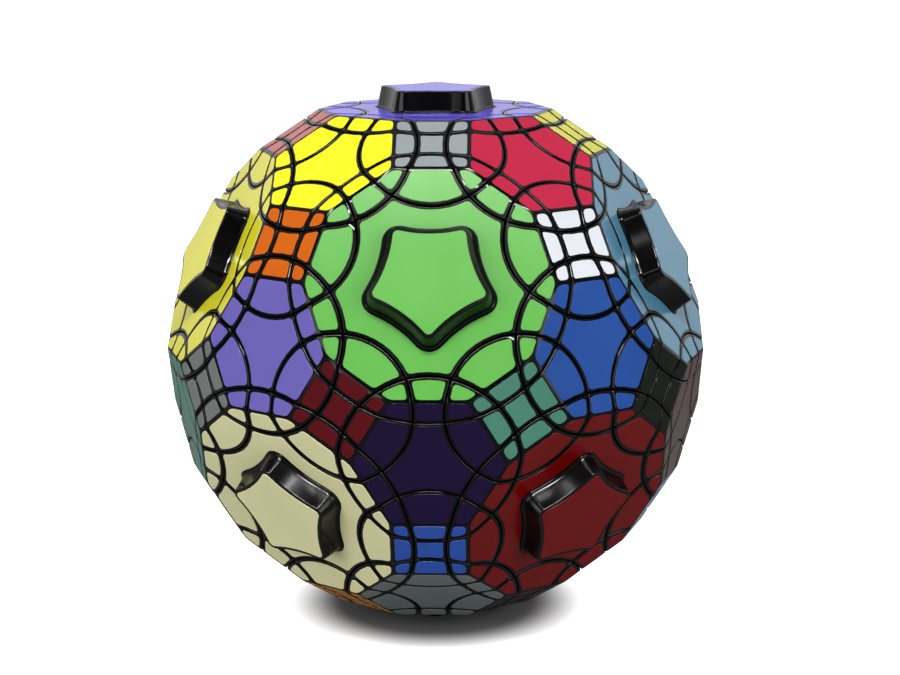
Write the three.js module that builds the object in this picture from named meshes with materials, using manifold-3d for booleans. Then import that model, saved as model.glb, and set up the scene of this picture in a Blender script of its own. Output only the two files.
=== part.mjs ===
// Twisty puzzle in the shape of a truncated icosidodecahedron: 12 decagons, 20 hexagons and
// 30 squares. Every decagon face is a round layer that turns on its own screw. Millimetres,
// +Z up, with the origin under the ball, on the flat end of the bottom knob.
import * as THREE from 'three';
import { ConvexGeometry } from 'three/addons/geometries/ConvexGeometry.js';
import { mergeVertices } from 'three/addons/utils/BufferGeometryUtils.js';
import Module from 'manifold-3d';

const wasm = await Module();
wasm.setup();

// Driving dimensions.
const edge = 20.5; // side of every regular face
const gap = 0.6; // play between a turning layer and its neighbours
const seam = 0.3; // play between pieces that only rest on each other
const shellScale = 0.8; // inside of the shell as a part of the outside
const layerCut = rad(28.55); // half angle of the round cut about a decagon
const hexagonCut = rad(18.1); // the same about a hexagon
const squareCut = rad(15.01); // and about a square
const layerSides = 24;
const hexagonSides = 14;
const squareSides = 12;

const knobHeight = 6.2; // star knob, above its decagon
const knobTip = 17.0; // radius of a star point at the flat end
const knobValley = 12.5; // radius of the hollow between two points
const knobFlare = 1.6; // how much wider the star is at its foot
const tipWidth = rad(7); // half of the angle that a blunt star point takes
const plugRadius = 6.2; // round plug that holds the knob in the hub
const plugDepth = 7;

const hubRadius = 9; // tube under the decagon centre
const hubFoot = 34; // height of the hub's foot above the ball's centre
const springSeat = 46; // floor of the counterbore, where the spring presses
const boreRadius = 2.7;
const counterbore = plugRadius + seam;

const screwRadius = 2.2;
const screwFoot = 24; // lower end of the screw, inside the core
const headRadius = 5.2;
const headBottom = 58;
const headTop = 61.5;
const coilOuter = 4.6;
const coilInner = 3.2;
const coilTurns = 3;

const coreRadius = 27;
const decagonPost = 6.5; // radii of the core's posts
const hexagonPost = 4.5;
const squarePost = 2.4;
const threadRadius = screwRadius + seam;

// Lengths and angles that follow from the regular faces.
const golden = (1 + Math.sqrt(5)) / 2;
const ballRadius = edge * Math.sqrt(31 + 12 * Math.sqrt(5)) / 2;
const decagonHeight = edge * Math.sqrt(5 * (5 + 2 * Math.sqrt(5))) / 2;
const hexagonHeight = edge * Math.sqrt(3) * (2 + Math.sqrt(5)) / 2;
const squareHeight = edge * (3 / 2 + Math.sqrt(5));
const centreHeight = decagonHeight + knobHeight;
const decagonToDecagon = Math.atan(2);
const decagonToSquare = decagonToDecagon / 2;
const decagonToHexagon = Math.acos(Math.sqrt((5 + 2 * Math.sqrt(5)) / 15));
const fifth = rad(72);

function rad(degrees) {
  return degrees * Math.PI / 180;
}

// ---- Solids -------------------------------------------------------------------------------

function solidOf(geometry) {
  geometry.deleteAttribute('normal');
  geometry.deleteAttribute('uv');
  const merged = mergeVertices(geometry, 1e-4);
  const vertProperties = Float32Array.from(merged.attributes.position.array);
  const triVerts = Uint32Array.from(merged.index.array);
  return new wasm.Manifold(new wasm.Mesh({ numProp: 3, vertProperties, triVerts }));
}

function geometryOf(solid) {
  const mesh = solid.getMesh();
  const geometry = new THREE.BufferGeometry();
  geometry.setAttribute('position', new THREE.BufferAttribute(mesh.vertProperties, 3));
  geometry.setIndex(new THREE.BufferAttribute(mesh.triVerts, 1));
  geometry.computeVertexNormals();
  return geometry;
}

function joined(solids) {
  return solids.reduce((sum, next) => sum.add(next));
}

// A cone that opens along +Z from the ball's centre; grow widens it by that much all over.
function cuttingCone(halfAngle, sides, grow) {
  const length = 1.4 * ballRadius;
  const cone = new THREE.ConeGeometry(length * Math.tan(halfAngle), length, sides);
  cone.translate(0, -length / 2, 0);
  cone.rotateX(-Math.PI / 2);
  cone.translate(0, 0, -grow / Math.sin(halfAngle));
  return cone;
}

// A cylinder about +Z from one height to another.
function post(radius, from, to, sides) {
  const cylinder = new THREE.CylinderGeometry(radius, radius, to - from, sides);
  cylinder.rotateX(Math.PI / 2);
  cylinder.translate(0, 0, (from + to) / 2);
  return cylinder;
}

// ---- Directions of the faces ----------------------------------------------------------------

// Leans +Z over by tilt towards the front, then turns it about the vertical.
function turnTo(tilt, azimuth, spin = 0) {
  return new THREE.Matrix4().makeRotationZ(azimuth)
    .multiply(new THREE.Matrix4().makeRotationX(tilt))
    .multiply(new THREE.Matrix4().makeRotationZ(spin));
}

const upper = { tilt: decagonToDecagon, spin: fifth / 2 };
const lower = { tilt: Math.PI - decagonToDecagon, spin: 0 };
const faces = [
  { name: 'top', tilt: 0, spin: 0, azimuth: 0, colour: '#6a5acd' },
  { name: 'front', ...upper, azimuth: 0, colour: '#5cb548' },
  { name: 'right', ...upper, azimuth: fifth, colour: '#73a5c0' },
  { name: 'back_right', ...upper, azimuth: 2 * fifth, colour: '#d66a9a' },
  { name: 'back_left', ...upper, azimuth: 3 * fifth, colour: '#e08a3c' },
  { name: 'left', ...upper, azimuth: 4 * fifth, colour: '#e8e050' },
  { name: 'low_front_right', ...lower, azimuth: fifth / 2, colour: '#8a1414' },
  { name: 'low_right', ...lower, azimuth: 1.5 * fifth, colour: '#2e8f86' },
  { name: 'low_back', ...lower, azimuth: 2.5 * fifth, colour: '#c9c9c4' },
  { name: 'low_left', ...lower, azimuth: 3.5 * fifth, colour: '#3f6fc4' },
  { name: 'low_front_left', ...lower, azimuth: 4.5 * fifth, colour: '#cfc391' },
  { name: 'bottom', tilt: Math.PI, spin: 0, azimuth: 0, colour: '#7a4fa0' },
];
for (const face of faces) {
  face.turn = turnTo(face.tilt, face.azimuth, face.spin);
  face.axis = new THREE.Vector3(0, 0, 1).applyMatrix4(face.turn);
}

// Hexagons lie between three decagons that touch each other, and squares between two.
const touching = (a, b) => Math.abs(a.axis.angleTo(b.axis) - decagonToDecagon) < 0.01;
const between = (...near) => near.reduce((sum, face) => sum.add(face.axis), new THREE.Vector3());
const hexagonAxes = [];
const squareAxes = [];
const corners = [];
faces.forEach((a, i) => faces.slice(i + 1).filter((b) => touching(a, b)).forEach((b) => {
  const square = between(a, b).normalize();
  squareAxes.push(square);
  for (const c of faces.filter((face) => touching(face, a) && touching(face, b))) {
    const hexagon = between(a, b, c).normalize();
    if (!hexagonAxes.some((axis) => axis.angleTo(hexagon) < 0.01)) hexagonAxes.push(hexagon);
    corners.push(cornerOf(a.axis, hexagon, square), cornerOf(b.axis, hexagon, square));
  }
}));

// The point where the planes of a decagon, a hexagon and a square meet.
function cornerOf(decagon, hexagon, square) {
  const planes = new THREE.Matrix3().set(
    decagon.x, decagon.y, decagon.z,
    hexagon.x, hexagon.y, hexagon.z,
    square.x, square.y, square.z,
  );
  const distances = new THREE.Vector3(decagonHeight, hexagonHeight, squareHeight);
  return distances.applyMatrix3(planes.invert());
}

function aimedAt(axis) {
  const turn = new THREE.Quaternion().setFromUnitVectors(new THREE.Vector3(0, 0, 1), axis);
  return new THREE.Matrix4().makeRotationFromQuaternion(turn);
}

// ---- Shell ------------------------------------------------------------------------------------

const outside = solidOf(new ConvexGeometry(corners));
const inside = solidOf(new ConvexGeometry(corners.map((c) => c.clone().multiplyScalar(shellScale))));
const shell = outside.subtract(inside);
const layer = shell.intersect(solidOf(cuttingCone(layerCut, layerSides, -gap / 2)));

// The five hexagon cuts and five square cuts that cross the top layer.
function crossingCuts(grow) {
  const cuts = [];
  for (let i = 0; i < 5; i += 1) {
    const squareCone = cuttingCone(squareCut, squareSides, grow);
    const hexagonCone = cuttingCone(hexagonCut, hexagonSides, grow);
    cuts.push(squareCone.applyMatrix4(turnTo(decagonToSquare, i * fifth)));
    cuts.push(hexagonCone.applyMatrix4(turnTo(decagonToHexagon, (i + 0.5) * fifth)));
  }
  return joined(cuts.map(solidOf));
}

// The twenty edge and corner pieces that ring a decagon's centre, as one ring.
function outerRing() {
  return layer.intersect(crossingCuts(-seam / 2));
}

// The decagon's centre: its plate, and a hub with a counterbore for the screw and spring.
function decagonCentre() {
  const plate = layer.subtract(crossingCuts(seam / 2));
  const hub = solidOf(post(hubRadius, hubFoot, decagonHeight - 2, 14));
  return plate.add(hub)
    .subtract(solidOf(post(counterbore, springSeat, decagonHeight + 1, 12)))
    .subtract(solidOf(post(boreRadius, hubFoot - 1, springSeat + 1, 8)));
}

// What is left of the shell between the twelve layers: the hexagon and square centres and the
// side edges between them.
const layerHole = cuttingCone(layerCut, layerSides, gap / 2);
const layerHoles = faces.map((face) => solidOf(layerHole.clone().applyMatrix4(face.turn)));
const lattice = shell.subtract(joined(layerHoles));

// One of ten sections of the lattice: a hexagon beside the pole, the hexagon below it, the square
// between them and one more square beside each. The lower half is the upper one through the
// ball's centre, so side is 1 or -1.
function latticeSection(i, side) {
  const [pole, ...ring] = faces.slice(0, 6);
  const [a, b] = [ring[i], ring[(i + 1) % 5]];
  const low = faces.find((face) => face !== pole && !ring.includes(face)
    && touching(face, a) && touching(face, b));
  const cones = (halfAngle, sides, grow, groups) => joined(groups.map((group) => {
    const axis = between(...group).multiplyScalar(side).normalize();
    return solidOf(cuttingCone(halfAngle, sides, grow).applyMatrix4(aimedAt(axis)));
  }));
  const hexagons = cones(hexagonCut, hexagonSides, 0, [[pole, a, b], [a, b, low]]);
  const others = cones(squareCut, squareSides, seam / 2, [[pole, b], [b, low]]);
  const squares = cones(squareCut, squareSides, -seam / 2, [[pole, a], [a, b], [a, low]]);
  return lattice.intersect(hexagons.subtract(others).add(squares));
}

// ---- Star knob ----------------------------------------------------------------------------------

// One level of the star: blunt points towards the hexagons, hollows towards the squares.
function starOutline(grow) {
  const star = new THREE.Shape();
  for (let i = 0; i < 5; i += 1) {
    const tip = rad(90) + i * fifth;
    const along = (radius, angle) => [radius * Math.cos(angle), radius * Math.sin(angle)];
    const from = along(knobTip - 0.7 + grow, tip - tipWidth);
    const to = along(knobTip - 0.7 + grow, tip + tipWidth);
    const next = along(knobTip - 0.7 + grow, tip + fifth - tipWidth);
    const hollow = along(2 * (knobValley + grow) - Math.hypot(to[0] + next[0], to[1] + next[1]) / 2,
      tip + fifth / 2);
    if (i === 0) star.moveTo(...from);
    star.lineTo(...along(knobTip + grow, tip));
    star.lineTo(...to);
    star.quadraticCurveTo(...hollow, ...next);
  }
  return star.extractPoints(4).shape;
}

// A prism between two outlines with the same number of points.
function frustum(low, lowHeight, high, highHeight) {
  const points = [
    ...low.map((p) => new THREE.Vector3(p.x, p.y, lowHeight)),
    ...high.map((p) => new THREE.Vector3(p.x, p.y, highHeight)),
  ];
  const count = low.length;
  const index = [];
  for (let i = 0; i < count; i += 1) {
    const j = (i + 1) % count;
    index.push(i, j, count + i, j, count + j, count + i);
  }
  for (const [a, b, c] of THREE.ShapeUtils.triangulateShape(low, [])) index.push(c, b, a);
  for (const [a, b, c] of THREE.ShapeUtils.triangulateShape(high, [])) {
    index.push(count + a, count + b, count + c);
  }
  const geometry = new THREE.BufferGeometry().setFromPoints(points);
  geometry.setIndex(index);
  return geometry;
}

function starKnob() {
  const foot = decagonHeight + seam;
  const body = frustum(starOutline(knobFlare), foot, starOutline(0), centreHeight);
  return solidOf(body).add(solidOf(post(plugRadius, foot - plugDepth, foot + 1, 12)));
}

// ---- Screw and core -----------------------------------------------------------------------------

// A tension screw with its spring about the shank, turned about +Z.
function tensionScrew() {
  const pitch = (headBottom - springSeat - seam) / coilTurns;
  const profile = [[0, screwFoot], [screwRadius, screwFoot], [screwRadius, springSeat + seam]];
  for (let i = 0; i < coilTurns; i += 1) {
    const low = springSeat + seam + i * pitch;
    profile.push([coilOuter, low + pitch / 2], [coilInner, low + pitch]);
  }
  profile.push([headRadius, headBottom], [headRadius, headTop], [0, headTop]);
  const points = profile.map(([radius, height]) => new THREE.Vector2(radius, height));
  const screw = new THREE.LatheGeometry(points, 8);
  screw.rotateX(Math.PI / 2);
  return solidOf(screw);
}

// The core: a ball with a threaded post for every decagon, a six-sided one for every hexagon
// and a four-sided one for every square.
function core() {
  const posts = [solidOf(new THREE.IcosahedronGeometry(coreRadius, 1))];
  const threads = [];
  for (const face of faces) {
    const column = post(decagonPost, coreRadius - 5, hubFoot - seam, 8);
    const thread = post(threadRadius, screwFoot - seam, hubFoot, 8);
    posts.push(solidOf(column.applyMatrix4(face.turn)));
    threads.push(solidOf(thread.applyMatrix4(face.turn)));
  }
  for (const axis of hexagonAxes) {
    const column = post(hexagonPost, coreRadius - 5, shellScale * hexagonHeight - seam, 6);
    posts.push(solidOf(column.applyMatrix4(aimedAt(axis))));
  }
  for (const axis of squareAxes) {
    const column = post(squarePost, coreRadius - 5, shellScale * squareHeight - seam, 4);
    posts.push(solidOf(column.applyMatrix4(aimedAt(axis))));
  }
  return joined(posts).subtract(joined(threads));
}

// ---- Assembly -------------------------------------------------------------------------------------

const blackPlastic = () => new THREE.MeshStandardMaterial({ color: '#0d0d0f', roughness: 0.25 });
const steel = () => new THREE.MeshStandardMaterial({ color: '#9a9da0', roughness: 0.35, metalness: 1 });
const innerPlastic = () => new THREE.MeshStandardMaterial({ color: '#d8d8d4', roughness: 0.6 });
const tilePlastic = (color) => new THREE.MeshStandardMaterial({ color, roughness: 0.4 });

const ball = new THREE.Group();
ball.position.z = centreHeight;

function place(name, geometry, material, turn = new THREE.Matrix4()) {
  const mesh = new THREE.Mesh(geometry, material);
  mesh.name = name;
  mesh.quaternion.setFromRotationMatrix(turn);
  ball.add(mesh);
}

place('core', geometryOf(core()), innerPlastic());
for (let i = 0; i < 5; i += 1) {
  place(`upper_lattice_${i + 1}`, geometryOf(latticeSection(i, 1)), blackPlastic());
  place(`lower_lattice_${i + 1}`, geometryOf(latticeSection(i, -1)), blackPlastic());
}
const pieces = {
  centre: geometryOf(decagonCentre()),
  ring: geometryOf(outerRing()),
  knob: geometryOf(starKnob()),
  screw: geometryOf(tensionScrew()),
};
for (const { name, turn, colour } of faces) {
  place(`${name}_centre`, pieces.centre, blackPlastic(), turn);
  place(`${name}_ring`, pieces.ring, blackPlastic(), turn);
  place(`${name}_knob`, pieces.knob, tilePlastic(colour), turn);
  place(`${name}_screw`, pieces.screw, steel(), turn);
}

export default ball;
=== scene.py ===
import bpy
import bmesh
from math import acos, atan, cos, pi, radians, sin, sqrt, tan
from mathutils import Matrix, Vector
from mathutils.bvhtree import BVHTree


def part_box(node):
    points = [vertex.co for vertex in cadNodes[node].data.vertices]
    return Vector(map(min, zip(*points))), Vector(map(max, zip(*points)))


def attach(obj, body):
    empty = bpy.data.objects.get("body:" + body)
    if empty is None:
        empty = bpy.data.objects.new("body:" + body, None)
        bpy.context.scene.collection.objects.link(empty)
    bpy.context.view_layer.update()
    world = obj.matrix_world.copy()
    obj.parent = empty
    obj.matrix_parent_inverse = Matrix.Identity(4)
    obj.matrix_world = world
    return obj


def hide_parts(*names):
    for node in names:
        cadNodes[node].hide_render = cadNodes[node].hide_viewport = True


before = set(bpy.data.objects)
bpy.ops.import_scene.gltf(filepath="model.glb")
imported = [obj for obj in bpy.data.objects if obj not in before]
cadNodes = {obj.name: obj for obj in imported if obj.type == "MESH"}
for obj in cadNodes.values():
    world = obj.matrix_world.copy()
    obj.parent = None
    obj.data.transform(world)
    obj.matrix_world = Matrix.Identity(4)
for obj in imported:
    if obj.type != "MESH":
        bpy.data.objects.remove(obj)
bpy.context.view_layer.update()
mm = 0.001
samePlace = 1e-6                    # metres
sameDirection = 0.01                # radians

# The ball is a truncated icosidodecahedron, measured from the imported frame.
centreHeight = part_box("top_knob")[1].z / 2
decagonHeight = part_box("top_centre")[1].z - centreHeight
edge = decagonHeight / (sqrt(5 * (5 + 2 * sqrt(5))) / 2)
hexagonHeight = edge * sqrt(3) * (2 + sqrt(5)) / 2
squareHeight = edge * (3 / 2 + sqrt(5))
decagonToDecagon = atan(2)
decagonToSquare = decagonToDecagon / 2
decagonToHexagon = acos(sqrt((5 + 2 * sqrt(5)) / 15))
fifth = radians(72)
up = Vector((0, 0, 1))
toCentre = Matrix.Translation((0, 0, centreHeight))


def turnTo(tilt, azimuth, spin=0):
    # +Z leans towards the front and is then turned about the vertical
    return (Matrix.Rotation(azimuth, 4, "Z") @ Matrix.Rotation(tilt, 4, "X")
            @ Matrix.Rotation(spin, 4, "Z"))


upper, lower = decagonToDecagon, pi - decagonToDecagon
faceTurns = {
    "top": turnTo(0, 0),
    "front": turnTo(upper, 0, fifth / 2),
    "right": turnTo(upper, fifth, fifth / 2),
    "back_right": turnTo(upper, 2 * fifth, fifth / 2),
    "back_left": turnTo(upper, -2 * fifth, fifth / 2),
    "left": turnTo(upper, -fifth, fifth / 2),
    "low_front_right": turnTo(lower, fifth / 2),
    "low_right": turnTo(lower, 1.5 * fifth),
    "low_back": turnTo(lower, 2.5 * fifth),
    "low_left": turnTo(lower, -1.5 * fifth),
    "low_front_left": turnTo(lower, -fifth / 2),
    "bottom": turnTo(pi, 0),
}
faceAxes = {name: turn.to_3x3() @ up for name, turn in faceTurns.items()}
squareTurns = [turnTo(decagonToSquare, i * fifth) for i in range(5)]
hexagonTurns = [turnTo(decagonToHexagon, (i + 0.5) * fifth) for i in range(5)]


def neighbours(axis):
    # the decagons round a face: three for a hexagon, two for a square, itself for a decagon
    near = min(faceAxes[name].angle(axis) for name in faceAxes)
    return " ".join(name for name in faceAxes
                    if abs(faceAxes[name].angle(axis) - near) < sameDirection)


decagonColours = {
    "top": (0.135, 0.094, 0.650), "front": (0.111, 0.357, 0.070), "right": (0.088, 0.226, 0.326),
    "back_right": (0.700, 0.170, 0.330), "back_left": (0.750, 0.170, 0.090),
    "left": (0.710, 0.675, 0.030), "low_front_right": (0.190, 0.002, 0.002),
    "low_right": (0.020, 0.240, 0.190), "low_back": (0.500, 0.500, 0.480),
    "low_left": (0.050, 0.210, 0.600), "low_front_left": (0.820, 0.800, 0.478),
    "bottom": (0.150, 0.030, 0.170),
}
hexagonColours = {
    "top front left": (0.740, 0.700, 0.008), "top front right": (0.400, 0.008, 0.047),
    "front left low_front_left": (0.158, 0.128, 0.410),
    "front right low_front_right": (0.025, 0.080, 0.285),
    "front low_front_right low_front_left": (0.012, 0.004, 0.038),
    "low_front_right low_front_left bottom": (0.197, 0.238, 0.245),
    "left low_left low_front_left": (0.060, 0.270, 0.190),
    "right low_front_right low_right": (0.060, 0.016, 0.007),
    "top right back_right": (0.030, 0.330, 0.080), "top back_right back_left": (0.020, 0.230, 0.420),
    "top back_left left": (0.560, 0.240, 0.050), "right back_right low_right": (0.660, 0.350, 0.020),
    "back_right back_left low_back": (0.330, 0.020, 0.120),
    "back_left left low_left": (0.110, 0.030, 0.300),
    "back_right low_right low_back": (0.300, 0.500, 0.100),
    "back_left low_back low_left": (0.800, 0.560, 0.300),
    "low_front_right low_right bottom": (0.420, 0.100, 0.350),
    "low_right low_back bottom": (0.650, 0.070, 0.020),
    "low_back low_left bottom": (0.030, 0.110, 0.070),
    "low_left low_front_left bottom": (0.400, 0.300, 0.110),
}
squareColours = {
    "top front": (0.243, 0.270, 0.277), "front left": (0.510, 0.118, 0.006),
    "front right": (0.560, 0.580, 0.620), "front low_front_left": (0.094, 0.002, 0.006),
    "front low_front_right": (0.067, 0.200, 0.148),
    "low_front_right low_front_left": (0.037, 0.111, 0.460),
    "left low_front_left": (0.195, 0.200, 0.200), "right low_front_right": (0.002, 0.008, 0.003),
    "top left": (0.410, 0.095, 0.088), "top right": (0.540, 0.510, 0.012),
    "low_front_left bottom": (0.750, 0.330, 0.050), "low_front_right bottom": (0.010, 0.009, 0.011),
    "top back_right": (0.060, 0.350, 0.370), "top back_left": (0.330, 0.080, 0.330),
    "right back_right": (0.450, 0.060, 0.040), "back_right back_left": (0.750, 0.620, 0.050),
    "back_left left": (0.050, 0.230, 0.070), "right low_right": (0.340, 0.270, 0.600),
    "back_right low_right": (0.020, 0.050, 0.230), "back_right low_back": (0.530, 0.690, 0.430),
    "back_left low_back": (0.070, 0.060, 0.060), "back_left low_left": (0.680, 0.380, 0.330),
    "left low_left": (0.250, 0.120, 0.040), "low_front_right low_right": (0.260, 0.420, 0.560),
    "low_right low_back": (0.560, 0.480, 0.330), "low_back low_left": (0.370, 0.020, 0.030),
    "low_left low_front_left": (0.020, 0.190, 0.200), "low_right bottom": (0.280, 0.330, 0.050),
    "low_back bottom": (0.110, 0.130, 0.330), "low_left bottom": (0.620, 0.600, 0.560),
}
tileColours = {**decagonColours, **hexagonColours, **squareColours}

finishes = {
    "tileRoughness": (0.19, 0.22),
    "tileSpecular": 0.32,
    "plasticSpecular": 0.35,
    "tileShade": 0.035,             # how much a tile's colour drifts
    "mottle": 45,                   # noise scales, per metre
    "tileGrain": 2600,
    "tileGrainHeight": 0.012 * mm,
    "tileGrainStrength": 0.25,
    "plasticColour": (0.002, 0.0018, 0.0024, 1),
    "plasticRoughness": (0.10, 0.20),
    "plasticWear": 60,
    "plasticRipple": 900,
    "plasticRippleHeight": 0.01 * mm,
    "plasticRippleStrength": 0.2,
    "nylonColours": ((0.56, 0.56, 0.52, 1), (0.62, 0.62, 0.58, 1)),
    "nylonRoughness": 0.5,
    "nylonGlow": (0.1, 2 * mm),     # weight and depth of the light that gets into it
    "nylonSkinStrength": 0.3,
    "steelColours": ((0.50, 0.51, 0.53, 1), (0.62, 0.63, 0.65, 1)),
    "steelRoughness": (0.25, 0.4),
    "turningMarks": 1400,
    "turningMarkStrength": 0.4,
}


def newMaterial(name):
    material = bpy.data.materials.new(name)
    material.use_nodes = True
    nodes, links = material.node_tree.nodes, material.node_tree.links
    place = nodes.new("ShaderNodeTexCoord").outputs["Object"]
    return material, nodes, links, nodes["Principled BSDF"], place


def noiseNode(nodes, links, place, scale, detail=3):
    noise = nodes.new("ShaderNodeTexNoise")
    noise.inputs["Scale"].default_value = scale
    noise.inputs["Detail"].default_value = detail
    links.new(place, noise.inputs["Vector"])
    return noise.outputs["Fac"]


def rangeNode(nodes, links, value, low, high):
    spread = nodes.new("ShaderNodeMapRange")
    for socket, number in (("From Min", 0.3), ("From Max", 0.7), ("To Min", low), ("To Max", high)):
        spread.inputs[socket].default_value = number
    links.new(value, spread.inputs["Value"])
    return spread.outputs["Result"]


def shadeNode(nodes, links, value, dark, light):
    shade = nodes.new("ShaderNodeMix")
    shade.data_type = "RGBA"
    shade.inputs["A"].default_value = dark
    shade.inputs["B"].default_value = light
    links.new(rangeNode(nodes, links, value, 0, 1), shade.inputs["Factor"])
    return shade.outputs["Result"]


def bumpNode(nodes, links, height, distance, strength):
    bump = nodes.new("ShaderNodeBump")
    bump.inputs["Distance"].default_value = distance
    bump.inputs["Strength"].default_value = strength
    links.new(height, bump.inputs["Height"])
    return bump.outputs["Normal"]


def tileFinish(name, colour):
    # satin self-coloured plastic with a faint cloudiness and a fine moulded grain
    material, nodes, links, shader, place = newMaterial("tile_" + name.replace(" ", "_"))
    cloud = noiseNode(nodes, links, place, finishes["mottle"])
    drift = finishes["tileShade"]
    dark = (*(c * (1 - drift) for c in colour), 1)
    light = (*(min(1, c * (1 + drift)) for c in colour), 1)
    links.new(shadeNode(nodes, links, cloud, dark, light), shader.inputs["Base Color"])
    links.new(rangeNode(nodes, links, cloud, *finishes["tileRoughness"]), shader.inputs["Roughness"])
    shader.inputs["Specular IOR Level"].default_value = finishes["tileSpecular"]
    grain = noiseNode(nodes, links, place, finishes["tileGrain"], 2)
    links.new(bumpNode(nodes, links, grain, finishes["tileGrainHeight"],
                       finishes["tileGrainStrength"]), shader.inputs["Normal"])
    return material


def blackFinish():
    # glossy black plastic, slightly uneven where hands have polished it
    material, nodes, links, shader, place = newMaterial("blackPlastic")
    shader.inputs["Base Color"].default_value = finishes["plasticColour"]
    shader.inputs["Specular IOR Level"].default_value = finishes["plasticSpecular"]
    wear = noiseNode(nodes, links, place, finishes["plasticWear"])
    links.new(rangeNode(nodes, links, wear, *finishes["plasticRoughness"]), shader.inputs["Roughness"])
    ripple = noiseNode(nodes, links, place, finishes["plasticRipple"], 2)
    links.new(bumpNode(nodes, links, ripple, finishes["plasticRippleHeight"],
                       finishes["plasticRippleStrength"]), shader.inputs["Normal"])
    return material


def coreFinish():
    # unpainted nylon, cloudy, with the dull skin of the mould
    material, nodes, links, shader, place = newMaterial("coreNylon")
    cloud = noiseNode(nodes, links, place, finishes["mottle"])
    links.new(shadeNode(nodes, links, cloud, *finishes["nylonColours"]), shader.inputs["Base Color"])
    shader.inputs["Roughness"].default_value = finishes["nylonRoughness"]
    shader.inputs["Subsurface Weight"].default_value = finishes["nylonGlow"][0]
    shader.inputs["Subsurface Scale"].default_value = finishes["nylonGlow"][1]
    skin = noiseNode(nodes, links, place, finishes["plasticRipple"], 2)
    links.new(bumpNode(nodes, links, skin, finishes["tileGrainHeight"],
                       finishes["nylonSkinStrength"]), shader.inputs["Normal"])
    return material


def steelFinish():
    # plain steel with fine turning marks
    material, nodes, links, shader, place = newMaterial("screwSteel")
    marks = noiseNode(nodes, links, place, finishes["turningMarks"], 2)
    links.new(shadeNode(nodes, links, marks, *finishes["steelColours"]), shader.inputs["Base Color"])
    links.new(rangeNode(nodes, links, marks, *finishes["steelRoughness"]), shader.inputs["Roughness"])
    shader.inputs["Metallic"].default_value = 1
    links.new(bumpNode(nodes, links, marks, finishes["plasticRippleHeight"],
                       finishes["turningMarkStrength"]), shader.inputs["Normal"])
    return material


blackPlastic = blackFinish()
tileFinishes = {name: tileFinish(name, colour) for name, colour in tileColours.items()}
nodeFinishes = {"core": coreFinish()}
steel = steelFinish()
nodeFinishes.update({name + "_screw": steel for name in faceTurns})
for name, finish in nodeFinishes.items():
    for materialSlot in cadNodes[name].material_slots:
        materialSlot.material = finish
print("tile finishes made:", len(tileFinishes))


def asObject(bm, name):
    mesh = bpy.data.meshes.new(name)
    bm.to_mesh(mesh)
    bm.free()
    thing = bpy.data.objects.new(name, mesh)
    bpy.context.scene.collection.objects.link(thing)
    return thing


def discard(things):
    for thing in things:
        mesh = thing.data
        bpy.data.objects.remove(thing)
        bpy.data.meshes.remove(mesh)


def evenShading(bm, name):
    # flat faces look flat and their rounded edges take up the whole turn
    thing = asObject(bm, name)
    even = thing.modifiers.new("even", "WEIGHTED_NORMAL")
    even.mode = "FACE_AREA"
    even.weight = 100
    even.keep_sharp = True
    shown = thing.evaluated_get(bpy.context.evaluated_depsgraph_get())
    mesh = bpy.data.meshes.new_from_object(shown)
    discard([thing])
    mesh.name = name
    return mesh


def cutCone(kind, turn, grow):
    # a cone that opens from the ball's centre; grow widens it all over
    halfAngle = ball[kind + "Cut"]
    length = ball["coneLength"] * squareHeight
    bm = bmesh.new()
    bmesh.ops.create_cone(bm, cap_ends=True, segments=ball[kind + "Sides"], radius1=0,
                          radius2=length * tan(halfAngle), depth=length)
    bmesh.ops.translate(bm, verts=bm.verts, vec=(0, 0, length / 2 - grow / sin(halfAngle)))
    bmesh.ops.transform(bm, matrix=turn, verts=bm.verts)
    return asObject(bm, "cut")


def carve(stock, keep=(), remove=(), holed=False):
    # the part of the stock inside every keep and outside every remove, as a bmesh; a flat face
    # that gets a hole through it keeps the edges that bridge to the hole
    for operation, cutters in (("INTERSECT", keep), ("DIFFERENCE", remove)):
        for cutter in cutters:
            cut = stock.modifiers.new("cut", "BOOLEAN")
            cut.operation = operation
            cut.solver = "EXACT"
            cut.object = cutter
    shown = stock.evaluated_get(bpy.context.evaluated_depsgraph_get())
    result = bmesh.new()
    result.from_mesh(shown.to_mesh())
    shown.to_mesh_clear()
    discard([stock, *keep, *remove])
    bmesh.ops.remove_doubles(result, verts=result.verts, dist=samePlace)
    if not holed:
        bmesh.ops.dissolve_limit(result, angle_limit=ball["flatAngle"], verts=result.verts,
                                 edges=result.edges)
    return result


def cornerPoints():
    # where the planes of a decagon, a hexagon and a square meet
    points = []
    for turn in faceTurns.values():
        for i in range(5):
            for j in (i, i - 1):
                planes = Matrix([turn.to_3x3() @ up, turn.to_3x3() @ hexagonTurns[j].to_3x3() @ up,
                                 turn.to_3x3() @ squareTurns[i].to_3x3() @ up])
                points.append(planes.inverted() @ Vector((decagonHeight, hexagonHeight, squareHeight)))
    return points


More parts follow.
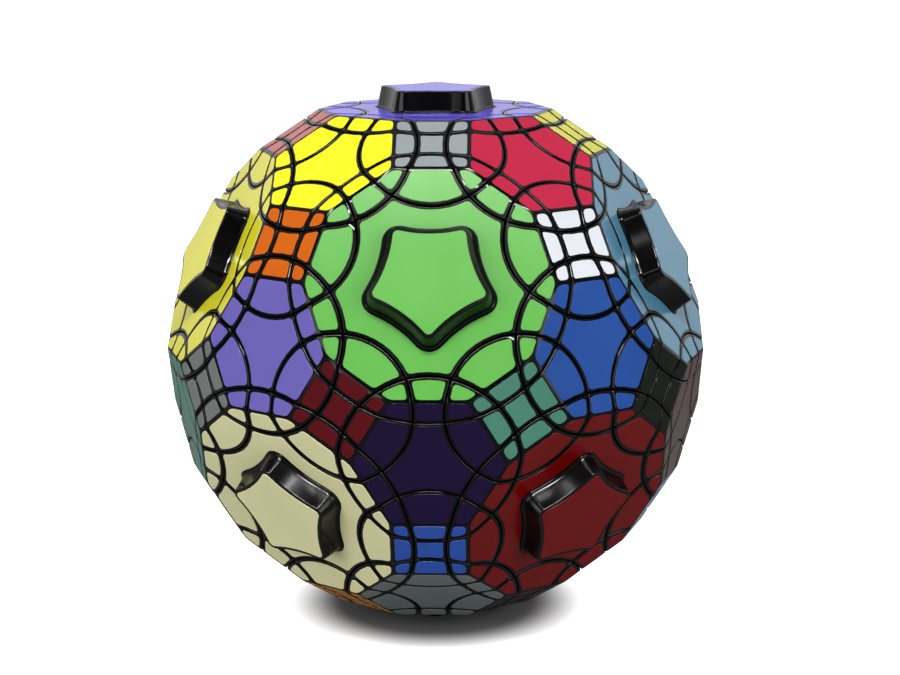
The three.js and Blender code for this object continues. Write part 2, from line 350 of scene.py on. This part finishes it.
ball = {
    "decagonCut": radians(28.55),   # half angles of the round cuts, seen from the centre
    "hexagonCut": radians(18.10),
    "squareCut": radians(15.01),
    "decagonSides": 80,
    "hexagonSides": 54,
    "squareSides": 48,
    "gap": 0.22 * mm,               # between neighbours
    "inside": 0.8,                  # inner face of a piece, as a part of the outer
    "outerPart": 1.02,              # edges further out than this times the inner face are seen
    "coneLength": 1.4,
    "edgeRound": 0.45 * mm,
    "flatAngle": radians(0.5),      # faces this close to level are one face
    "ridgeAngle": radians(15),      # between two faces of the ball, kept crisp
    "rimAngle": radians(45),        # where a cut meets a face, rounded
}
tile = {                            # black plastic left beside a cut, and all round a tile
    "decagon": (0.36 * mm, 0.48 * mm),
    "hexagon": (0.30 * mm, 0.34 * mm),
    "square": (0.02 * mm, 0.70 * mm),
    "round": 1.0 * mm,              # corner radius
    "roundSteps": 3,
    "cornerAngle": radians(25),     # an outline that turns this much has a corner there
    "proud": 0.10 * mm,
    "depth": 0.5 * mm,
    "edge": 0.12 * mm,
}
corners = cornerPoints()


def ballShell():
    # the faceted ball with a hollow of the same shape
    bm = bmesh.new()
    for scale in (1, ball["inside"]):
        points = [bm.verts.new(point * scale) for point in corners]
        hull = bmesh.ops.convex_hull(bm, input=points)
        if scale < 1:
            walls = [g for g in hull["geom"] if isinstance(g, bmesh.types.BMFace)]
            bmesh.ops.reverse_faces(bm, faces=walls)
    bmesh.ops.dissolve_limit(bm, angle_limit=2 * ball["flatAngle"], verts=bm.verts, edges=bm.edges)
    return asObject(bm, "ballShell")


middle, square, hexagon, otherHexagon = Matrix(), squareTurns[0], hexagonTurns[0], hexagonTurns[4]
across = Matrix.Rotation(pi, 4, square.to_3x3() @ up)      # swaps the two decagons beside a square


def thirdTurn(times):
    # about the hexagon between three decagons
    return Matrix.Rotation(times * 2 * pi / 3, 4, hexagon.to_3x3() @ up)


# Each kind of piece: the cuts it lies inside, and the neighbours' cuts that trim it.
pieceKinds = {
    "centre": ([("decagon", middle)],
               [("square", t) for t in squareTurns] + [("hexagon", t) for t in hexagonTurns]),
    "decagonSquareEdge": ([("decagon", middle), ("square", square)],
                          [("hexagon", hexagon), ("hexagon", otherHexagon)]),
    "decagonHexagonEdge": ([("decagon", middle), ("hexagon", hexagon)],
                           [("square", square), ("square", squareTurns[1])]),
    "corner": ([("decagon", middle), ("hexagon", hexagon), ("square", square)], []),
    "mirroredCorner": ([("decagon", middle), ("hexagon", otherHexagon), ("square", square)], []),
    "hexagonSquareEdge": ([("hexagon", hexagon), ("square", square)],
                          [("decagon", middle), ("decagon", across)]),
    "hexagonCentre": ([("hexagon", hexagon)],
                      [("decagon", thirdTurn(i)) for i in range(3)]
                      + [("square", thirdTurn(i) @ square) for i in range(3)]),
    "squareCentre": ([("square", square)],
                     [("decagon", middle), ("decagon", across), ("hexagon", hexagon),
                      ("hexagon", otherHexagon)]),
}
faceHeights = {"decagon": decagonHeight, "hexagon": hexagonHeight, "square": squareHeight}
facets = [("decagon", turn) for turn in (middle, across, thirdTurn(1), thirdTurn(2))]
facets += [("square", turn) for turn in (*squareTurns, thirdTurn(1) @ square, thirdTurn(2) @ square)]
facets += [("hexagon", turn) for turn in (hexagon, otherHexagon)]
facetAxes = []
for shape, turn in facets:
    axis = turn.to_3x3() @ up
    if all(axis.angle(known) > sameDirection for _, known in facetAxes):
        facetAxes.append((shape, axis))


def pieceSolid(kind, margin):
    shrink = -(ball["gap"] / 2 + margin)
    inside, outside = pieceKinds[kind]
    return carve(ballShell(), [cutCone(name, turn, shrink) for name, turn in inside],
                 [cutCone(name, turn, -shrink) for name, turn in outside])


def blackBody(kind):
    # the black piece, its outer rim and corners rounded
    bm = pieceSolid(kind, 0)
    outer = ball["outerPart"] * ball["inside"] * squareHeight
    sharp = [e for e in bm.edges if e.calc_face_angle(0) > ball["rimAngle"]
             and min(v.co.length for v in e.verts) > outer]
    for ridge in bm.edges:
        if ball["ridgeAngle"] < ridge.calc_face_angle(0) < ball["rimAngle"]:
            ridge.smooth = False
    bmesh.ops.bevel(bm, geom=sharp, offset=ball["edgeRound"], offset_type="OFFSET", segments=2,
                    profile=0.5, affect="EDGES", clamp_overlap=True, material=-1)
    for face in bm.faces:
        face.smooth = True
    return bm


def facetOutline(bm, height, axis):
    # the one flat face that a piece has on a face of the ball, alone in a new bmesh
    alone = bmesh.new()
    for face in bm.faces:
        reach = face.calc_center_median().dot(axis)
        if face.normal.angle(axis) < 0.2 * sameDirection and abs(reach - height) < 10 * samePlace:
            alone.faces.new([alone.verts.new(v.co) for v in face.verts])
    bmesh.ops.remove_doubles(alone, verts=alone.verts, dist=samePlace)
    if len(alone.faces) > 1:
        bmesh.ops.dissolve_faces(alone, faces=alone.faces)
    return alone


def cornersOf(bm):
    # where an outline turns sharply
    found = []
    for vert in bm.verts:
        one, two = (e.other_vert(vert).co - vert.co for e in vert.link_edges)
        if pi - one.angle(two) > tile["cornerAngle"]:
            found.append(vert)
    return found


def clearCorners(bm, reach):
    # short steps beside a corner go, so that the inset and the round have room there
    found = cornersOf(bm)
    near = {e.other_vert(v) for v in found for e in v.link_edges
            if e.calc_length() < reach} - set(found)
    bmesh.ops.dissolve_verts(bm, verts=list(near))


def thicken(bm, axis, depth):
    # a flat outline becomes a plate below itself
    lowered = bmesh.ops.extrude_face_region(bm, geom=bm.faces[:], use_keep_orig=True)
    verts = [g for g in lowered["geom"] if isinstance(g, bmesh.types.BMVert)]
    bmesh.ops.translate(bm, verts=verts, vec=-axis * depth)
    bmesh.ops.recalc_face_normals(bm, faces=bm.faces)


def tilePlate(outline, axis, seam):
    # a thin plate on a facet: drawn in from the edges, its corners rounded
    bmesh.ops.recalc_face_normals(outline, faces=outline.faces)
    if outline.faces[:][0].normal.dot(axis) < 0:
        bmesh.ops.reverse_faces(outline, faces=outline.faces)
    clearCorners(outline, 1.5 * tile["round"])
    rim = bmesh.ops.inset_region(outline, faces=outline.faces[:], thickness=seam,
                                 use_even_offset=True, use_boundary=True)
    bmesh.ops.delete(outline, geom=rim["faces"], context="FACES")
    bmesh.ops.remove_doubles(outline, verts=outline.verts, dist=0.2 * tile["round"])
    bmesh.ops.bevel(outline, geom=cornersOf(outline), offset=tile["round"], offset_type="OFFSET",
                    segments=tile["roundSteps"], profile=0.5, affect="VERTICES",
                    clamp_overlap=True, material=-1)
    bmesh.ops.translate(outline, verts=outline.verts, vec=axis * tile["proud"])
    thicken(outline, axis, tile["depth"])


def breakTopEdge(bm, axis):
    # a small chamfer round a plate's top
    top = max(v.co.dot(axis) for v in bm.verts)
    rim = [e for e in bm.edges if all(abs(v.co.dot(axis) - top) < samePlace for v in e.verts)
           and any(f.normal.dot(axis) < 0.9 for f in e.link_faces)]
    bmesh.ops.bevel(bm, geom=rim, offset=tile["edge"], offset_type="OFFSET", segments=1,
                    profile=0.5, affect="EDGES", clamp_overlap=True, material=-1)


def addTo(bm, part, materialIndex, axis=None):
    # joins a part on; its top, which faces along the axis, keeps a crisp rim in the shading
    for face in part.faces:
        face.material_index = materialIndex
        face.smooth = True
        if axis and face.normal.dot(axis) > 0.999:
            for rimEdge in face.edges:
                rimEdge.smooth = False
    mesh = bpy.data.meshes.new("part")
    part.to_mesh(mesh)
    part.free()
    bm.from_mesh(mesh)
    bpy.data.meshes.remove(mesh)


knob = {
    "tip": 17.1 * mm,               # centre to the sharp point of the top's outline
    "hollow": 11.9 * mm,            # centre to the hollow between two points
    "tipRound": 2.4 * mm,           # how far along the edges a rounding starts
    "hollowRound": 5.5 * mm,
    "sink": 0.6 * mm,               # foot below the face
    "foot": 1.9 * mm,               # foot out past the top's outline
    "steps": ((0, 0.75), (0.15, 0.2), (0.3, 0.1), (0.15, 0.15), (0.12, 0.5), (0.95, 4.4),
              (0.03, 0.15), (0.08, 0.12), (0.12, 0.06)),   # in and up, in mm
    "rim": 0.8 * mm,                # black left round the star tile
    "hole": 2.2 * mm,               # hole in the centre tile, out past the top's outline
    "holeFrom": 2 * mm,             # above the face
    "holeDepth": 4 * mm,
    "tipSteps": 7,
    "hollowSteps": 5,
}


def starOutline(reach, height):
    # the knob's five-pointed outline, drawn outwards by reach, its points and hollows rounded
    tip, hollow = knob["tip"], knob["hollow"]
    tipHalf = atan(hollow * sin(fifth / 2) / (tip - hollow * cos(fifth / 2)))
    hollowHalf = pi - fifth / 2 - tipHalf
    tip += reach / sin(tipHalf)
    hollow += reach / sin(hollowHalf)
    bm = bmesh.new()
    for vert in bmesh.ops.create_circle(bm, cap_ends=True, segments=10, radius=1)["verts"]:
        place = round(vert.co.to_2d().angle_signed(Vector((0, 1))) / (fifth / 2))
        radius = tip if place % 2 == 0 else hollow
        vert.co = Vector((radius * vert.co.x, radius * vert.co.y, height))
    hollowOffset = knob["hollowRound"] + reach * tan(pi / 2 - hollowHalf)
    tipOffset = knob["tipRound"] + reach / tan(tipHalf)
    for isTip, offset, segments in ((False, hollowOffset, knob["hollowSteps"]),
                                    (True, tipOffset, knob["tipSteps"])):
        found = [v for v in bm.verts if (v.co.to_2d().length > tip - samePlace if isTip
                                         else abs(v.co.to_2d().length - hollow) < samePlace)]
        bmesh.ops.bevel(bm, geom=found, offset=offset, offset_type="OFFSET", segments=segments,
                        profile=0.5, affect="VERTICES", clamp_overlap=True, material=-1)
    bmesh.ops.recalc_face_normals(bm, faces=bm.faces)
    if bm.faces[:][0].normal.z < 0:
        bmesh.ops.reverse_faces(bm, faces=bm.faces)
    return bm


def starHole():
    bm = starOutline(knob["hole"], decagonHeight + knob["holeFrom"])
    thicken(bm, up, knob["holeDepth"])
    return asObject(bm, "hole")


def starKnob():
    # a flanged foot, a wall that leans in and a rounded top, with the star tile let into it
    bm = starOutline(knob["foot"], decagonHeight - knob["sink"])
    crown = bm.faces[:]
    rise = centreHeight - decagonHeight + knob["sink"] - tile["proud"]
    stretch = rise / sum(upwards for _, upwards in knob["steps"])
    for inwards, upwards in knob["steps"]:
        bmesh.ops.inset_region(bm, faces=crown, thickness=inwards * mm, depth=upwards * stretch,
                               use_even_offset=True, use_boundary=True)
    bmesh.ops.holes_fill(bm, edges=[e for e in bm.edges if e.is_boundary])
    bmesh.ops.recalc_face_normals(bm, faces=bm.faces)
    for face in bm.faces:
        face.smooth = True
    plate = starOutline(-knob["rim"], centreHeight)
    thicken(plate, up, tile["depth"])
    breakTopEdge(plate, up)
    addTo(bm, plate, 1, up)
    return evenShading(bm, "starKnob")


hub = {
    "radius": 9 * mm,
    "bore": 2.9 * mm,
    "springBore": 5.6 * mm,
    "foot": 34 * mm,                # heights from the ball's centre
    "springSeat": 46 * mm,
    "top": 57.5 * mm,
    "boreTop": 63 * mm,
    "sides": 32,
}


def hubSleeve():
    # the sleeve that runs on the tension screw, wider inside where the spring sits
    profile = ((hub["bore"], hub["foot"]), (hub["radius"], hub["foot"]), (hub["radius"], hub["top"]),
               (hub["springBore"], hub["top"]), (hub["springBore"], hub["springSeat"]),
               (hub["bore"], hub["springSeat"]))
    bm = bmesh.new()
    verts = [bm.verts.new((radius, 0, height)) for radius, height in profile]
    loop = [bm.edges.new((verts[i - 1], verts[i])) for i in range(len(verts))]
    bmesh.ops.spin(bm, geom=verts + loop, cent=(0, 0, 0), axis=up, angle=2 * pi, steps=hub["sides"],
                   use_merge=True)
    bmesh.ops.recalc_face_normals(bm, faces=bm.faces)
    return bm


def springBore():
    bm = bmesh.new()
    length = hub["boreTop"] - hub["springSeat"]
    bmesh.ops.create_cone(bm, cap_ends=True, segments=hub["sides"], radius1=hub["springBore"],
                          radius2=hub["springBore"], depth=length)
    bmesh.ops.translate(bm, verts=bm.verts, vec=(0, 0, hub["boreTop"] - length / 2))
    return asObject(bm, "springBore")


def tiledPiece(kind):
    # the black body with a plate on each facet; returns the mesh and the facets' axes
    body = blackBody(kind)
    if kind == "centre":
        body = carve(asObject(body, "body"), remove=[springBore()], holed=True)
        addTo(body, hubSleeve(), 0)
    stocks = {shape: pieceSolid(kind, tile[shape][0]) for shape in faceHeights}
    axes = []
    for shape, axis in facetAxes:
        outline = facetOutline(stocks[shape], faceHeights[shape], axis)
        if not outline.faces:
            outline.free()
            continue
        tilePlate(outline, axis, tile[shape][1])
        if kind == "centre":
            outline = carve(asObject(outline, "plate"), remove=[starHole()], holed=True)
        breakTopEdge(outline, axis)
        axes.append(axis)
        addTo(body, outline, len(axes), axis)
    for stock in stocks.values():
        stock.free()
    return evenShading(body, kind), axes


templates = {}
for kind in pieceKinds:
    templates[kind] = tiledPiece(kind)
    print("template", kind, "faces", len(templates[kind][0].polygons))


def setPiece(template, name, turn, bodyName):
    mesh, axes = templates[template]
    copy = mesh.copy()
    copy.name = name
    copy.transform(toCentre @ turn)
    copy.materials.append(blackPlastic)
    for axis in axes:
        copy.materials.append(tileFinishes[neighbours(turn.to_3x3() @ axis)])
    piece = bpy.data.objects.new(name, copy)
    bpy.context.scene.collection.objects.link(piece)
    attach(piece, bodyName)
    return piece


templates["starKnob"] = (starKnob(), [up])
print("template starKnob faces", len(templates["starKnob"][0].polygons))
for faceName, faceTurn in faceTurns.items():
    layerName = faceName + "_layer"
    centre = setPiece("centre", faceName + "_centrePiece", faceTurn, layerName)
    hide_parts(faceName + "_centre")
    starPiece = setPiece("starKnob", faceName + "_starKnob", faceTurn, layerName)
    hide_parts(faceName + "_knob")
    for kind in ("decagonSquareEdge", "decagonHexagonEdge", "corner", "mirroredCorner"):
        for i in range(5):
            spin = Matrix.Rotation(i * fifth, 4, "Z")
            piece = setPiece(kind, f"{faceName}_{kind}_{i + 1}", faceTurn @ spin, layerName)
            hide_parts(faceName + "_ring")
print("layers placed")

latticeTrees = {}
for name in cadNodes:
    if "_lattice_" in name:
        mesh = cadNodes[name].data
        latticeTrees[name] = BVHTree.FromPolygons([v.co for v in mesh.vertices],
                                                  [p.vertices for p in mesh.polygons])


def latticeSection(direction):
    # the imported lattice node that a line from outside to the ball's centre meets first
    centre = toCentre.translation
    start = centre + 2 * squareHeight * direction
    reach = {}
    for name, tree in latticeTrees.items():
        found = tree.ray_cast(start, -direction)
        if found[0] is not None:
            reach[name] = found[3]
    return min(reach, key=reach.get)


# The hexagon and square centres and the side edges between them stay still while a decagon turns.
hexagonAxis, squareAxis = hexagon.to_3x3() @ up, square.to_3x3() @ up
fixedKinds = {"hexagonCentre": hexagonAxis, "squareCentre": squareAxis,
              "hexagonSquareEdge": (hexagonAxis + squareAxis).normalized()}
for kind, heart in fixedKinds.items():
    known = []
    for faceTurn in faceTurns.values():
        for i in range(5):
            turn = faceTurn @ Matrix.Rotation(i * fifth, 4, "Z")
            direction = turn.to_3x3() @ heart
            if any(direction.angle(other) < sameDirection for other in known):
                continue
            known.append(direction)
            piece = setPiece(kind, f"{kind}_{len(known)}", turn, "root")
            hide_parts(latticeSection(direction))
    print(kind, "placed", len(known))

stage = {
    "floorSize": 6,                 # half its side
    "floorColour": (0.30, 0.30, 0.30, 1),
    "floorRoughness": 0.9,
    "paintedFloorLight": 1.0,               # painted light, seen only by the camera: lifts the floor to white, but not in a disc round the ball's foot, which is left as a painted shadow pool with the lamps' shadow in it
    # radii of the painted shadow pool: the painted floor light fades in from the first to the second
    "paintedShadowFrom": 0.028,
    "paintedShadowTo": 0.050,
    "background": 1.0,
    "roomFront": 0.10,              # how bright the room is, as the ball sees it
    "roomBack": 0.70,
    "roomTurns": (-0.3, 0.5),       # where it goes from front to back
}


def seenDirectly(nodes, links, value, socket):
    # the value goes to the socket where the floor or the backdrop is looked at directly: painted light
    # that only the camera sees and that lights nothing else
    path = nodes.new("ShaderNodeLightPath")
    product = nodes.new("ShaderNodeMath")
    product.operation = "MULTIPLY"
    links.new(path.outputs["Is Camera Ray"], product.inputs[0])
    links.new(value, product.inputs[1])
    links.new(product.outputs["Value"], socket)


# the floor: mid grey to the ball and the lamps, white to the camera only through painted light
bm = bmesh.new()
bmesh.ops.create_grid(bm, x_segments=1, y_segments=1, size=stage["floorSize"])
floor = asObject(bm, "floor")
floorMaterial, nodes, links, shader, place = newMaterial("floor")
shader.inputs["Base Color"].default_value = stage["floorColour"]
shader.inputs["Roughness"].default_value = stage["floorRoughness"]
shader.inputs["Specular IOR Level"].default_value = 0
shader.inputs["Emission Color"].default_value = (1, 1, 1, 1)
# painted floor light: none near the ball's foot and full further out, so a painted shadow pool is left
# round the ball
distance = nodes.new("ShaderNodeVectorMath")
distance.operation = "LENGTH"
links.new(place, distance.inputs[0])
glow = nodes.new("ShaderNodeMapRange")
glow.interpolation_type = "SMOOTHSTEP"
glow.inputs["From Min"].default_value = stage["paintedShadowFrom"]
glow.inputs["From Max"].default_value = stage["paintedShadowTo"]
glow.inputs["To Max"].default_value = stage["paintedFloorLight"]
links.new(distance.outputs["Value"], glow.inputs["Value"])
seenDirectly(nodes, links, glow.outputs["Result"], shader.inputs["Emission Strength"])
floor.data.materials.append(floorMaterial)

world = bpy.data.worlds.new("studio")
bpy.context.scene.world = world
world.use_nodes = True
nodes, links = world.node_tree.nodes, world.node_tree.links
nodes["Background"].inputs["Color"].default_value = (1, 1, 1, 1)
place = nodes.new("ShaderNodeTexCoord").outputs["Generated"]
sides = nodes.new("ShaderNodeSeparateXYZ")
links.new(place, sides.inputs["Vector"])
room = nodes.new("ShaderNodeMapRange")
for socket, number in (("From Min", stage["roomTurns"][0]), ("From Max", stage["roomTurns"][1]),
                       ("To Min", stage["roomFront"]), ("To Max", stage["roomBack"])):
    room.inputs[socket].default_value = number
links.new(sides.outputs["Y"], room.inputs["Value"])
path = nodes.new("ShaderNodeLightPath")
strength = nodes.new("ShaderNodeMix")
strength.inputs["B"].default_value = stage["background"]
links.new(path.outputs["Is Camera Ray"], strength.inputs["Factor"])
links.new(room.outputs["Result"], strength.inputs["A"])
links.new(strength.outputs["Result"], nodes["Background"].inputs["Strength"])
bpy.context.scene.view_settings.view_transform = "Standard"
bpy.context.scene.view_settings.look = "Medium High Contrast"

ballCentre = toCentre.translation
softboxes = {                       # size in metres, watts, place
    "overhead": ((0.5, 0.08), 6.5, (0.0, -0.641, 0.883)),
    "frontLeft": ((0.9, 0.8), 6.0, (-0.80, -0.90, 0.42)),
    "frontRight": ((0.9, 0.8), 6.8, (0.85, -0.85, 0.42)),
}
for name, (size, power, spot) in softboxes.items():
    lamp = bpy.data.lights.new(name, "AREA")
    lamp.shape = "RECTANGLE"
    lamp.size, lamp.size_y = size
    lamp.energy = power
    softbox = bpy.data.objects.new(name, lamp)
    bpy.context.scene.collection.objects.link(softbox)
    softbox.location = spot
    softbox.rotation_euler = (ballCentre - Vector(spot)).to_track_quat("-Z", "Y").to_euler()
    softbox.visible_camera = False

view = {
    "azimuth": 0.0251, "elevation": 0.21871, "roll": -0.00245,
    "distance": 7.7298 * corners[0].length, "lens": 82.27, "sensor": 36,
    "shift": (0.01566, 0.01329),
}
cameraData = bpy.data.cameras.new("camera")
cameraData.lens = view["lens"]
cameraData.sensor_width = view["sensor"]
cameraData.shift_x, cameraData.shift_y = view["shift"]
camera = bpy.data.objects.new("camera", cameraData)
bpy.context.scene.collection.objects.link(camera)
camera.matrix_world = (toCentre @ Matrix.Rotation(view["azimuth"], 4, "Z")
                       @ Matrix.Rotation(pi / 2 - view["elevation"], 4, "X")
                       @ Matrix.Translation((0, 0, view["distance"]))
                       @ Matrix.Rotation(view["roll"], 4, "Z"))
bpy.context.scene.camera = camera
